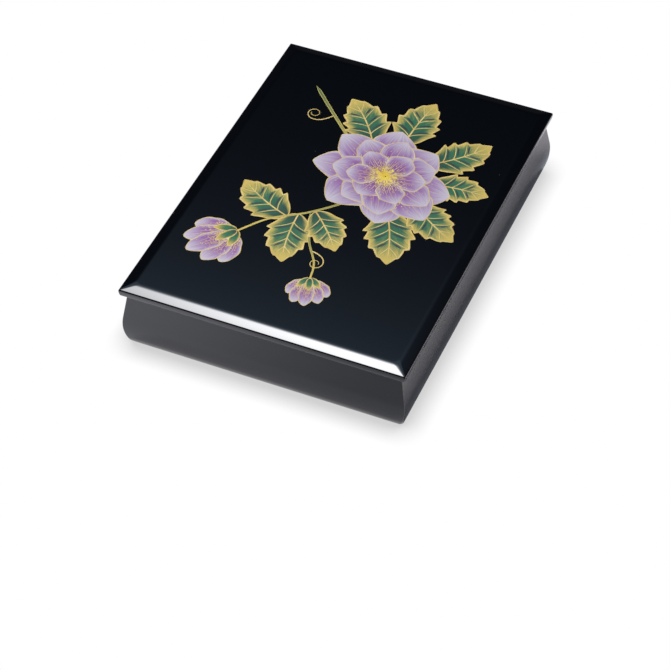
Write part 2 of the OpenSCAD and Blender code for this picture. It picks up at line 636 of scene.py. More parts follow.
@dataclass(frozen=True)
class PaintFinish:
    """Brushed pigment on a petal, a leaf or a stem.

    The UV runs from base to tip in x, and across in y with the midrib at one half. Colour goes from heart to
    body to rim, and the streaks lean forward by slant, as side veins do.
    """

    name: str
    heart: Colour
    body: Colour
    rim: Colour
    heart_end: float
    rim_start: float
    rim_end: float = 0.95
    slant: float = 0.0
    metallic: float = 0.0
    edge_share: float = 0.92
    heart_break: float = 0.35
    rim_break: float = 0.55
    rough: Point = (0.34, 0.5)
    bump: Point = (0.35, 0.08 * MM)

    def build(self) -> Material:
        """Colour from the distance to the base, tip and edge, broken by streaks.

        Returns:
            The material.
        """
        g = MaterialGraph(self.name)
        base, over, _ = g.axes(g.add("UVMap", uv_map="along").outputs[0])
        edge = g.math("ABSOLUTE", g.math("MULTIPLY_ADD", over, 2.0, -1.0))
        along, across = base, over
        if self.slant:
            along, across = edge, g.math("SUBTRACT", base, g.times(edge, self.slant))
        seed = g.add("Attribute", attribute_name="tone").outputs["Fac"]
        inputs = {"Along": along, "Across": across, "Seed": seed}
        streak = g.add("Group", inputs, node_tree=brush_streaks()).outputs[0]
        ragged = g.math("SUBTRACT", streak, 0.5)
        reach = g.math("MAXIMUM", base, g.times(edge, self.edge_share))
        start = g.math("MULTIPLY_ADD", ragged, self.heart_break, base)
        end = g.math("MULTIPLY_ADD", ragged, self.rim_break, reach)
        inner = g.mix(g.ramp(start, 0.0, self.heart_end), self.heart, self.body)
        whole = g.mix(g.ramp(end, self.rim_start, self.rim_end), inner, self.rim)
        g.put({"Metallic": self.metallic})
        return g.dress(whole, g.spread(streak, *self.rough), streak, *self.bump)


@dataclass(frozen=True)
class LineFinish:
    """Gold dust or ink laid in a raised line."""

    name: str
    low: Colour
    high: Colour
    metallic: float
    rough: Point
    powder_scale: float = 2600.0
    patch_scale: float = 90.0
    high_range: Point = (0.35, 0.65)
    bump: Point = (0.4, 0.06 * MM)

    def build(self) -> Material:
        """Colour, roughness and bump from noise of powder grains over slow patches.

        Returns:
            The material.
        """
        g = MaterialGraph(self.name)
        place = g.place()
        powder = g.noise(place, self.powder_scale)
        both = g.blend(powder, g.noise(place, self.patch_scale), 0.5)
        g.put({"Metallic": self.metallic})
        colour = g.mix(g.ramp(both, *self.high_range), self.low, self.high)
        return g.dress(colour, g.spread(powder, *self.rough), powder, *self.bump)


@dataclass
class Finishes:
    """All materials of the box, built once."""

    black: Material = field(default_factory=LacquerFinish(
        "black_lacquer", colour=(0.0006, 0.0008, 0.0012, 1.0), undercoat=(0.03, 0.016, 0.009, 1.0),
        rough=(0.014, 0.026), bump=(0.012, 0.2 * MM), specks=52.0).build)
    inside: Material = field(default_factory=LacquerFinish(
        "inside_lacquer", colour=(0.004, 0.0038, 0.004, 1.0), undercoat=(0.025, 0.014, 0.009, 1.0),
        rough=(0.2, 0.3), bump=(0.05, 0.2 * MM), specks=40.0).build)
    felt: Material = field(default_factory=FeltFinish().build)
    wood: Material = field(default_factory=WoodFinish(
        "bare_wood", dark=(0.3, 0.17, 0.08, 1.0), pale=(0.52, 0.35, 0.19, 1.0), fineness=900.0).build)
    bamboo: Material = field(default_factory=WoodFinish(
        "bamboo_peg", dark=(0.34, 0.22, 0.09, 1.0), pale=(0.6, 0.45, 0.24, 1.0), fineness=2400.0).build)
    petal: Material = field(default_factory=PaintFinish(
        "petal_pigment", heart=tint(98, 40, 120), body=tint(134, 84, 150), rim=tint(196, 190, 200),
        heart_end=0.6, rim_start=0.5, rim_end=1.08).build)
    leaf: Material = field(default_factory=PaintFinish(
        "leaf_pigment", heart=tint(20, 62, 48), body=tint(40, 104, 70), rim=tint(205, 180, 86),
        heart_end=0.5, rim_start=0.5, slant=0.3, metallic=0.1).build)
    stem: Material = field(default_factory=PaintFinish(
        "stem_pigment", heart=tint(70, 105, 62), body=tint(150, 145, 72), rim=tint(205, 180, 86),
        heart_end=0.6, rim_start=0.3, metallic=0.1).build)
    gold: Material = field(default_factory=LineFinish(
        "gold_line", low=tint(206, 170, 86), high=tint(240, 214, 136),
        metallic=0.25, rough=(0.34, 0.52)).build)
    pollen: Material = field(default_factory=LineFinish(
        "pollen_gold", low=tint(226, 186, 40), high=tint(246, 224, 96),
        metallic=0.1, rough=(0.42, 0.6)).build)
    ink: Material = field(default_factory=LineFinish(
        "vein_ink", low=tint(24, 34, 40), high=tint(44, 58, 62),
        metallic=0.0, rough=(0.32, 0.5)).build)


# The box

@dataclass
class WallSection:
    """Section of a wall: x outwards from the inner face, y up from the table."""

    height: float
    rim_t: float = 9 * MM
    lean: float = 9.5
    belly_h: float = 22 * MM
    belly_r: float = 60 * MM
    foot_r: float = 9 * MM
    mouth_r: float = 1 * MM
    rim_r: float = 0.7 * MM
    heel_r: float = 0.5 * MM
    groove_d: float = 4 * MM
    groove_low: float = 4 * MM
    groove_high: float = 9.1 * MM
    mouth_inside: int = 3

    def outline(self) -> tuple[Array, Array]:
        """The closed outline: foot arc, belly arc, leaning flank, rim, mouth and the groove for the bottom.

        The belly arc touches the flank and the foot arc touches the belly arc from inside.

        Returns:
            Points of shape (n, 2), and material indices of shape (n,): 0 outside and on the rim, 1 inside.
        """
        lean = math.radians(self.lean)
        flank_h = self.belly_h + self.belly_r * math.sin(lean)
        belly_out = (self.rim_t + (self.height - flank_h) * math.tan(lean)
                     + self.belly_r * (1 - math.cos(lean)))
        drop, span = self.belly_h - self.foot_r, self.belly_r - self.foot_r
        foot_out = belly_out - self.belly_r + math.sqrt(span ** 2 - drop ** 2)
        turn = math.degrees(math.asin(drop / span))
        belly_at = (belly_out - self.belly_r, self.belly_h)
        foot = arc((foot_out, self.foot_r), self.foot_r, -90, -turn, count=22)
        belly = arc(belly_at, self.belly_r, -turn, self.lean, count=26)[1:]
        rim = fillet(tuple(belly[-1]), (self.rim_t, self.height), (0.0, self.height), self.rim_r)
        mouth = arc((self.mouth_r, self.height - self.mouth_r), self.mouth_r, 90, 180, count=9)
        groove = np.array([(0, self.groove_high), (self.groove_d, self.groove_high),
                           (self.groove_d, self.groove_low), (0, self.groove_low)])
        heel = fillet((0.0, self.groove_low), (0.0, 0.0), (foot_out, 0.0), self.heel_r)
        rim_supports = np.concatenate([beside(rim[-1], mouth[0]), beside(mouth[0], rim[-1])])
        outside = np.concatenate([foot, belly, beside(rim[0], belly[-1]), rim, rim_supports,
                                  mouth[:-self.mouth_inside]])
        inside = np.concatenate([mouth[-self.mouth_inside:], beside(mouth[-1], groove[0]), groove])
        slots = np.repeat([0, 1, 0], [len(outside), len(inside), len(heel)])
        return np.concatenate([outside, inside, heel]), slots


@dataclass
class Moulding:
    """A mitred length of moulding on one side of the box, with its corners a little rounded."""

    side: Side
    run: float
    reach: float
    corner_r: float | Array
    corner_wear: float = 30.0
    foot_wear: float = 0.8
    foot_wear_h: float = 2.5 * MM

    def tubes(self, outline: Array, slots: Array | int = 0, steps: int = 9) -> Tubes:
        """The section carried from mitre to mitre, worn along the mitres and at the foot.

        A section point (o, z) runs along y = reach + o, between x = -(run / 2 + o) and run / 2 + o, and turns
        half of each corner on an arc of its corner_r, so that it ends on the mitre plane.

        Args:
            outline: section points, shape (n, 2), outwards from the inner face and up.
            slots: material index of each strip of faces.
            steps: points on each half corner.

        Returns:
            One tube, its rows along the run and its ring round the section.
        """
        out, level = outline.T
        degrees = np.r_[np.linspace(135, 90, steps), 90, 90, np.linspace(90, 45, steps)][:, None]
        sign = np.repeat([-1.0, 1.0], steps + 1)[:, None]
        back = np.repeat([0.0, SUPPORT, 0.0], [steps, 2, steps])[:, None]
        a = np.radians(degrees)
        x = sign * (self.run / 2 + out - self.corner_r - back) + self.corner_r * np.cos(a)
        y = self.reach + out - self.corner_r + self.corner_r * np.sin(a)
        z = np.broadcast_to(level, x.shape)
        corner = np.clip(1 - np.abs(degrees - 90 + 45 * sign) / self.corner_wear, 0, 1)
        foot = np.clip(1 - np.abs(level - self.foot_wear_h) / self.foot_wear_h, 0, 1)
        wear = np.maximum(corner, self.foot_wear * foot)
        points = self.side.turn(np.stack([x, y, z], axis=-1))
        return Tubes(points[None], wear=wear[None, ..., None], slots=slots)


@dataclass
class DocumentBox:
    """The lower part: four mitred walls, the bottom panel, hidden corner keys and the felt lining."""

    finishes: Finishes
    corner_r: float = 1.0 * MM
    foot_corner_r: float = 4.0 * MM
    foot_corner_h: float = 24 * MM
    inner_edge: float = 2 * MM
    felt_edge_r: float = 0.35 * MM
    felt_wave: float = 0.12 * MM
    felt_columns: int = 80
    felt_rows: int = 110

    def build(self) -> None:
        """Builds and dresses every piece of the lower part."""
        self.walls()
        self.lining()
        dress_node("bottom_panel", self.finishes.inside)
        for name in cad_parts:
            if name.startswith("corner_key"):
                dress_node(name, self.finishes.wood)

    def walls(self) -> None:
        """Four walls of one section, each in the place of its node, their mitre rounder towards the foot."""
        low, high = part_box("front_wall")
        outline, slots = WallSection(height=high.z).outline()
        out, level = outline.T
        inner_w = 2 * (high.x - out.max())
        inner_d = 2 * (-low.y - out.max())
        down = np.clip(1 - level / self.foot_corner_h, 0, 1) * (out > self.inner_edge)
        corner_r = self.corner_r + (self.foot_corner_r - self.corner_r) * down ** 2
        materials = [self.finishes.black, self.finishes.inside]
        for side in Side:
            run, reach = (inner_w, inner_d / 2) if side.is_short else (inner_d, inner_w / 2)
            tubes = Moulding(side, run, reach, corner_r).tubes(outline, slots)
            name = f"{side.name.lower()}_wall"
            make_piece(f"lacquered_{name}", Body.BOX, [tubes], materials, Edge.MOULDED, (name,))

    def lining(self) -> None:
        """The felt: a thin slab with soft edges, its top a little uneven.

        Rows run along y. Each ring is a flat oblong of the felt's width and thickness with rounded edges, and
        the top is lowered by up to felt_wave in slow waves.
        """
        low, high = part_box("floor_lining")
        width, length, thick = high.x - low.x, high.y - low.y, high.z - low.z
        r = self.felt_edge_r
        across = np.linspace(low.x + r, high.x - r, self.felt_columns)[1:-1]
        ring = np.concatenate([
            arc((low.x + r, high.z - r), r, 180, 90, count=5),
            np.stack([across, np.full(len(across), high.z)], axis=-1),
            arc((high.x - r, high.z - r), r, 90, 0, count=5),
            [(high.x, low.z), (low.x, low.z)],
        ])
        x, y = np.meshgrid(ring[:, 0], np.linspace(low.y, high.y, self.felt_rows))
        wave = 0.5 + 0.25 * np.sin(x * 61 + 1.3 * np.sin(y * 37)) + 0.25 * np.sin(y * 83 + 2 * np.sin(x * 29))
        upper = ring[:, 1] > low.z + thick / 2
        tubes = Tubes(np.stack([x, y, ring[:, 1] - self.felt_wave * wave * upper], axis=-1)[None])
        felt = make_piece("felt_lining", Body.BOX, [tubes], [self.finishes.felt], Edge.SOFT,
                          ("floor_lining",))


@dataclass
class BoxLid:
    """The lid: a flat board with an upright edge and a shallow bevel, and four strips pegged under it."""

    finishes: Finishes
    edge_rise: float = 6.5 * MM
    bevel_w: float = 9.4 * MM
    bevel_rise: float = 2 * MM
    tuck: float = 14.0
    arris_r: float = 1.5 * MM
    arris_wear: float = 0.25
    crest_r: float = 19 * MM
    under_r: float = 1.2 * MM
    corner_r: float = 0.9 * MM
    crest_corner_r: float = 5 * MM
    corner_points: int = 13
    flat_margin: float = 2 * MM
    strip_t: float = 8 * MM
    strip_lead: float = 1.5 * MM
    strip_edge_r: float = 0.4 * MM
    strip_corner_r: float = 0.3 * MM
    peg_proud: float = 0.12 * MM

    def build(self) -> None:
        """Builds and dresses the board, the strips and the pegs."""
        self.board()
        self.strips()
        dress_node("lid_pegs", self.finishes.bamboo)

    def profile(self, low: float, high: float) -> Array:
        """The lid's edge as rows of inset from the side, height, plan corner radius and wear.

        From the underside it rounds the lower arris, rises up the edge, rounds the upper arris into the bevel
        and rolls over the crest into the flat. The edge is an arc, upright at its top and tucked in at its
        foot. Each arc starts in the direction in which the one before it ends, and the upper arris touches
        the bevel's plane, which meets the side at edge_rise. The corner radius grows with the inset.

        Args:
            low: height of the underside.
            high: height of the flat top.

        Returns:
            Array of shape (rows, 4).
        """
        slope = math.atan(self.bevel_rise / self.bevel_w)
        s, c = math.sin(math.radians(self.tuck)), math.cos(math.radians(self.tuck))
        upright = low + self.edge_rise - self.arris_r * math.tan((math.pi / 2 - slope) / 2)
        edge_r = (upright - low - self.under_r) / s + self.under_r
        under_at = (edge_r * (1 - c) + self.under_r * c, low + self.under_r)
        crest_in = self.bevel_w + self.crest_r * math.tan(slope / 2)
        steep = 90 + math.degrees(slope)
        under = arc(under_at, self.under_r, 270, 180 + self.tuck, count=9)
        edge = arc((edge_r, upright), edge_r, 180 + self.tuck, 180, count=9)[1:-1]
        arris = arc((self.arris_r, upright), self.arris_r, 180, steep, count=17)
        crest = arc((crest_in, high - self.crest_r), self.crest_r, steep, 90, count=15)
        first, last = [(under_at[0] + self.flat_margin, low)], [(crest_in + self.flat_margin, high)]
        line = np.concatenate([first, under, edge, arris, crest, last])
        worn = np.zeros(len(line))
        at = 1 + len(under) + len(edge)
        worn[at:at + len(arris)] = self.arris_wear * np.sin(np.linspace(0, math.pi, len(arris)))
        share = np.clip(line[:, 0] / crest_in, 0, 1)
        share[:1 + len(under)] = 0
        return np.column_stack([line, self.corner_r + (self.crest_corner_r - self.corner_r) * share, worn])

    def board(self) -> None:
        """The board: rounded oblongs, one a row of the profile, with the flat top and underside as caps.

        A ring with inset i and corner radius r is the oblong of half sizes (w / 2 - i, d / 2 - i), whose
        corners are arcs of r about (w / 2 - i - r, d / 2 - i - r), with a support point at each end of them.
        """
        low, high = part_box("lid_board")
        inset, level, r, worn = self.profile(low.z, high.z - RELIEF * MM).T[:, :, None]
        steps = self.corner_points
        quarter = np.radians(np.r_[0, np.linspace(0, 90, steps), 90])
        a = (np.radians([0, 90, 180, 270])[:, None] + quarter).ravel()
        slide = np.tile(np.r_[-SUPPORT, np.zeros(steps), SUPPORT], 4)
        sx = np.repeat([1.0, -1.0, -1.0, 1.0], steps + 2)
        sy = np.repeat([1.0, 1.0, -1.0, -1.0], steps + 2)
        x = sx * (high.x - inset - r) + r * np.cos(a) - slide * np.sin(a)
        y = sy * (high.y - inset - r) + r * np.sin(a) + slide * np.cos(a)
        points = np.stack([x, y, np.broadcast_to(level, x.shape)], axis=-1)
        tubes = Tubes(points[None], wear=worn[None, ..., None])
        make_piece("lacquered_lid", Body.LID, [tubes], [self.finishes.black], Edge.BROAD,
                   ("lid_board",))

    def strips(self) -> None:
        """Four mitred strips with eased edges and a lead on the lower outer edge; the pegs end just proud."""
        low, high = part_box("lid_strip_front")
        wide, deep = high.x - self.strip_t, -low.y - self.strip_t
        bottom, top = low.z + self.peg_proud, high.z
        t, lead, r = self.strip_t, self.strip_lead, self.strip_edge_r
        outline = np.concatenate([
            fillet((0.0, top), (0.0, bottom), (t, bottom), r),
            fillet((0.0, bottom), (t - lead, bottom), (t, bottom + lead), r),
            fillet((t - lead, bottom), (t, bottom + lead), (t, top), r),
            [(t, top), (0.0, top)],
        ])
        for side in Side:
            run, reach = (2 * wide, deep) if side.is_short else (2 * deep, wide)
            tubes = Moulding(side, run, reach, self.strip_corner_r).tubes(outline, steps=4)
            name = f"lid_strip_{side.name.lower()}"
            make_piece(f"lacquered_{name}", Body.LID, [tubes], [self.finishes.inside],
                       Edge.MOULDED, (name,))


# The spray on the lid, in millimetres

# Points along a film, a line and a small dab
FILM_ROWS = 73
LINE_POINTS = 25
DAB_POINTS = 9
SIDES = (-1.0, 1.0)
# Height of the lines' feet and of the films' undersides, sunk into the ground below
LINE_SINK = -0.08
FILM_SINK = -0.05


@dataclass
class Blade:
    """A petal or leaf in the lid's plane.

    u runs from base to tip along a midrib that turns evenly by bend, and v from -1 to 1 between the edges.
    The half width is width / 2 (u / m)^(k m) ((1 - u) / (1 - m))^(k (1 - m)), which is greatest at u = m.
    Petals have a wave in it and leaves have teeth, which grow over a pitch and drop at once. press squeezes
    the blade along an axis through the origin, as a bloom seen from the side is.
    """

    origin: Point
    heading: float
    length: float
    width: float
    start: float = 0.0
    bend: float = 0.0
    widest: float = 0.5
    fullness: float = 1.7
    wave: float = 0.0
    waves: float = 3.0
    phase: float = 0.0
    phase_across: float = 1.7
    tooth: float = 0.0
    tooth_first: float = 0.2
    tooth_last: float = 0.93
    tooth_pitch: float = 0.17
    tooth_curve: float = 1.6
    least: float = 0.1
    press: Point = (0.0, 1.0)
    level: float = 0.1
    dome: float = 0.1
    dome_power: float = 0.7
    tone: float = 0.0

    def half_width(self, u: Array, v: Array) -> Array:
        """Half the width.

        Args:
            u: share of the length from base to tip.
            v: share of the half width, whose sign says on which side of the midrib.

        Returns:
            Array of their shape.
        """
        m, k = self.widest, self.fullness
        s = np.clip(u, 0.0, 1.0)
        half = self.width / 2 * (s / m) ** (k * m) * ((1 - s) / (1 - m)) ** (k * (1 - m))
        phase = self.phase + self.phase_across * (v > 0)
        ripple = self.wave * np.sin(2 * math.pi * self.waves * u + phase)
        turn = (s - self.tooth_first) / self.tooth_pitch
        saw = self.tooth * (turn - np.floor(turn)) ** self.tooth_curve * (turn > 0) * (s < self.tooth_last)
        return half * (1 + ripple + saw) + self.least

    def place(self, u: Array, v: Array) -> Array:
        """Points of the plane.

        Args:
            u: share of the length from base to tip.
            v: share of the half width, -1 to 1.

        Returns:
            Array of shape (..., 2).
        """
        turn = math.radians(self.bend) + 1e-6
        heading = math.radians(self.heading)
        first = heading - turn / 2
        angle = first + turn * u
        side = self.half_width(u, v) * v
        x = self.start * math.cos(heading) + self.length * (np.sin(angle) - math.sin(first)) / turn
        y = self.start * math.sin(heading) - self.length * (np.cos(angle) - math.cos(first)) / turn
        spot = np.stack([x - np.sin(angle) * side, y + np.cos(angle) * side], axis=-1)
        return pressed(spot, self.origin, self.press)

    def ground(self, u: Array, v: Array) -> Array:
        """Height of the painted top above the lid."""
        along = np.sin(math.pi * np.clip(u, 0, 1)) ** self.dome_power
        return self.level + self.dome * (1 - v ** 2) * along

    def film(self, across: int = 13) -> tuple[Array, Array]:
        """Ring rows of a thin closed film: the painted top, domed along the middle, and a sunk underside.

        Args:
            across: points on the top of each ring.

        Returns:
            Points of shape (FILM_ROWS, 2 across, 3), and their UV.
        """
        over = np.linspace(-1, 1, across)
        v, u = np.meshgrid(np.r_[over, over[::-1]], np.linspace(0.0, 1.0, FILM_ROWS))
        top = np.repeat([True, False], across)
        z = np.where(top, self.ground(u, v), FILM_SINK)
        return np.concatenate([self.place(u, v), z[..., None]], axis=-1), np.stack([u, v / 2 + 0.5], axis=-1)


def pressed(points: Array, origin: Point, press: Point) -> Array:
    """Points about an origin, squeezed along an axis and set in place.

    Args:
        points: shape (..., 2).
        origin: where their middle goes.
        press: the axis in degrees, and the share of the size that is left along it.

    Returns:
        Array of the same shape.
    """
    axis = math.radians(press[0])
    unit = np.array([math.cos(axis), math.sin(axis)])
    return np.array(origin) + points + (press[1] - 1) * (points @ unit)[..., None] * unit


def strokes(paths: Array, widths: Array, level: float | Array, rise: float) -> Array:
    """Raised lines: a low round-topped section carried along each path.

    Across a line of width w the section goes through (-w/2, 0), (-0.3 w, 0.8 rise), (0, rise),
    (0.3 w, 0.8 rise) and (w/2, 0), on a foot a little below the level.

    Args:
        paths: shape (lines, points, 2).
        widths: widths, of a shape that fits (lines, points).
        level: height of the ground that the lines lie on, of a shape that fits (lines, points).
        rise: height of the lines above it.

    Returns:
        Ring rows of shape (lines, points, 7, 3).
    """
    along = np.gradient(paths, axis=1)
    along /= np.maximum(np.linalg.norm(along, axis=-1, keepdims=True), 1e-9)
    normal = np.stack([-along[..., 1], along[..., 0]], axis=-1)
    across = np.array([-0.5, -0.5, -0.3, 0.0, 0.3, 0.5, 0.5])
    height = np.array([LINE_SINK, 0.0, 0.8 * rise, rise, 0.8 * rise, 0.0, LINE_SINK])
    wide = np.broadcast_to(widths, paths.shape[:2])
    ground = np.broadcast_to(level, paths.shape[:2])
    flat = paths[:, :, None] + normal[:, :, None] * (across * wide[..., None])[..., None]
    return np.concatenate([flat, (ground[..., None] + height)[..., None]], axis=-1)


def lines_on(lines: list[tuple[Blade, Array, Array, Array]], rise: float = 0.05) -> Array:
    """Raised lines that follow the domed films.

    Args:
        lines: for each line its blade, its u and v along the line, and its widths.
        rise: height of the lines above the film.

    Returns:
        Ring rows of the lines.
    """
    paths = np.stack([b.place(u, v) for b, u, v, _ in lines])
    ground = np.stack([b.ground(u, v) for b, u, v, _ in lines])
    return strokes(paths, np.stack([w for *_, w in lines]), ground, rise)


def taper(points: int, thick: float, first: float) -> Array:
    """Widths of a brush line that starts at a share of its width, fills out soon and thins as it lifts."""
    t = np.linspace(0, 1, points)
    return thick * np.minimum(first + t * 5, 1.0) * np.minimum(0.1 + (1 - t) * 2.2, 1.0)


def dashes(middle: Array, heading: Array, length: Array | float, width: Array | float,
           level: Array | float) -> Array:
    """Short pointed dabs: five rows of a low round-topped section.

    Args:
        middle: shape (n, 2).
        heading: direction of each dab in radians, shape (n,).
        length: length of each or of all.
        width: greatest width of each or of all.
        level: height of the ground under each or all.

    Returns:
        Ring rows of shape (n, 5, 7, 3).
    """
    t = np.array([-0.5, -0.3, 0.0, 0.3, 0.5])
    swell = np.array([0.12, 0.8, 1.0, 0.8, 0.12])
    unit = np.stack([np.cos(heading), np.sin(heading)], axis=-1)
    length, width, level = (np.broadcast_to(a, len(middle))[:, None] for a in (length, width, level))
    paths = middle[:, None] + unit[:, None] * (t * length)[..., None]
    return strokes(paths, swell * width, level, rise=0.09)


def bearing(steps: Array) -> Array:
    """Direction in radians of each step of shape (n, 2)."""
    return np.arctan2(steps[:, 1], steps[:, 0])


def polar(radius: Array, angle: Array) -> Array:
    """Points of the plane from their radius and angle."""
    return np.stack([radius * np.cos(angle), radius * np.sin(angle)], axis=-1)


@dataclass
class Bloom:
    """A double flower: rings of pointed petals, the upper ones shorter, round a tuft of stamens.

    Each of the rings has a count, the petals' reach and width as shares of the radius, and a turn in degrees.
    """

    centre: Point = (22.0, 36.0)
    radius: float = 66.0
    press: Point = (62.0, 0.86)
    rings: tuple[tuple[int, float, float, float], ...] = (
        (8, 0.96, 0.64, 6.0), (7, 0.76, 0.54, 30.0), (6, 0.52, 0.42, 10.0))
    level: float = 0.34
    ring_rise: float = 0.16
    overlap: float = 0.05
    stamen_count: int = 34
    stamen_reach: Point = (0.12, 0.17)
    seed_count: int = 26
    seed_step: float = 0.014
    seed: int = 3

    def blades(self) -> list[Blade]:
        """The petals.

        Returns:
            Blades from the lowest ring up, every second one of a ring a little higher than its neighbours.
        """
        rng = np.random.default_rng(self.seed)
        return [
            Blade(
                origin=self.centre, start=self.radius * 0.05, press=self.press, widest=0.56, fullness=2.0,
                level=self.level + self.ring_rise * layer + self.overlap * (k % 2), dome=0.04,
                heading=turn + 360 * k / count + rng.uniform(-6, 6),
                length=self.radius * reach * rng.uniform(0.9, 1.02),
                width=self.radius * wide * rng.uniform(0.88, 1.1),
                bend=rng.uniform(-24, 24), wave=rng.uniform(0.02, 0.06), waves=rng.uniform(2.2, 3.8),
                phase=rng.uniform(0, 6), tone=rng.uniform(0, 1),
            )
            for layer, (count, reach, wide, turn) in enumerate(self.rings) for k in range(count)
        ]

    def stamens(self) -> Array:
        """Filaments that spring from the middle and curl.

        Returns:
            Paths of shape (n, DAB_POINTS, 2).
        """
        rng = np.random.default_rng(self.seed + 50)
        count = self.stamen_count
        angle = np.linspace(0, 2 * math.pi, count, endpoint=False) + rng.uniform(-0.07, 0.07, count)
        reach = self.radius * np.resize(self.stamen_reach, count) * rng.uniform(0.9, 1.1, count)
        t = np.linspace(0.2, 1, DAB_POINTS)
        curl = rng.uniform(-0.35, 0.35, count)[:, None] * t ** 2
        return pressed(polar(reach[:, None] * t, angle[:, None] + curl), self.centre, self.press)

    def seeds(self) -> tuple[Array, Array]:
        """Seeds by the sunflower rule: seed n lies at radius c sqrt(n) and angle n times 137.5 degrees.

        Returns:
            Their places, shape (n, 2), and angles in radians.
        """
        n = np.arange(self.seed_count)
        angle = np.radians(137.5 * n)
        spots = polar(self.radius * self.seed_step * np.sqrt(n), angle)
        return pressed(spots, self.centre, self.press), angle


def leaf_blades() -> list[Blade]:
    """Leaves, by base, heading, length, bend and layer.

    Returns:
        Their blades.
    """
    rng = np.random.default_rng(21)
    rows = (
        ((62, 42), 4, 50, -18, 0), ((52, 65), 46, 58, 20, 1), ((22, 80), 84, 60, -16, 0),
        ((-4, 72), 130, 60, 22, 1), ((40, -2), 292, 64, -18, 0), ((58, 15), 326, 56, 16, 1),
        ((-34, -40), 152, 58, -20, 0), ((-26, -34), 280, 58, 18, 0), ((-14, -26), 312, 50, -14, 1),
    )
    return [Blade(base, heading, length, width=length * 0.54, bend=bend, widest=0.4, fullness=1.55, tooth=0.3,
                  phase=rng.uniform(0, 6), level=0.04 + 0.13 * layer, dome=0.03, tone=rng.uniform(0, 1))
            for base, heading, length, bend, layer in rows]


def bud_blades() -> list[Blade]:
    """Petals of two half-open buds, each a fan of them with the middle one on top.

    Returns:
        Their blades.
    """
    rows = (((-66, -74), 232, 44), ((14, -102), 286, 29))
    fan = ((-46, 0.8), (44, 0.84), (-23, 0.96), (22, 0.94), (-2, 1.0))
    return [Blade(base, heading + turn, size * reach, width=size * 0.42, bend=-turn * 0.7, widest=0.55,
                  fullness=1.5, wave=0.04, phase=float(i), level=0.14 + 0.12 * i, dome=0.04, tone=0.17 * i)
            for base, heading, size in rows for i, (turn, reach) in enumerate(fan)]


def sepal_blades() -> list[Blade]:
    """Small green sepals that clasp the foot of each bud.

    Returns:
        Their blades.
    """
    rows = (((-65, -72), 232, 20), ((13.5, -100), 286, 14))
    return [Blade(base, heading + turn, size, width=size * 0.4, bend=-turn * 0.8, widest=0.4, fullness=1.4,
                  level=0.74 + 0.05 * i, dome=0.03, tone=0.3 * i)
            for base, heading, size in rows for i, turn in enumerate((-42, 40, 2))]


def tendrils(count: int = 60) -> Array:
    """Curls: from a start point, a heading that turns faster and faster.

    Args:
        count: points on each curl.

    Returns:
        Paths of shape (n, count, 2).
    """
    start = np.array([(-48.0, 92.0), (1.0, -70.0)])[:, None]
    heading, length, turn = np.array([(235.0, 58.0, -500.0), (350.0, 48.0, -440.0)]).T[:, :, None]
    angle = np.radians(heading + turn * np.linspace(0, 1, count) ** 2)
    return start + np.cumsum(polar(length / count, angle), axis=1)


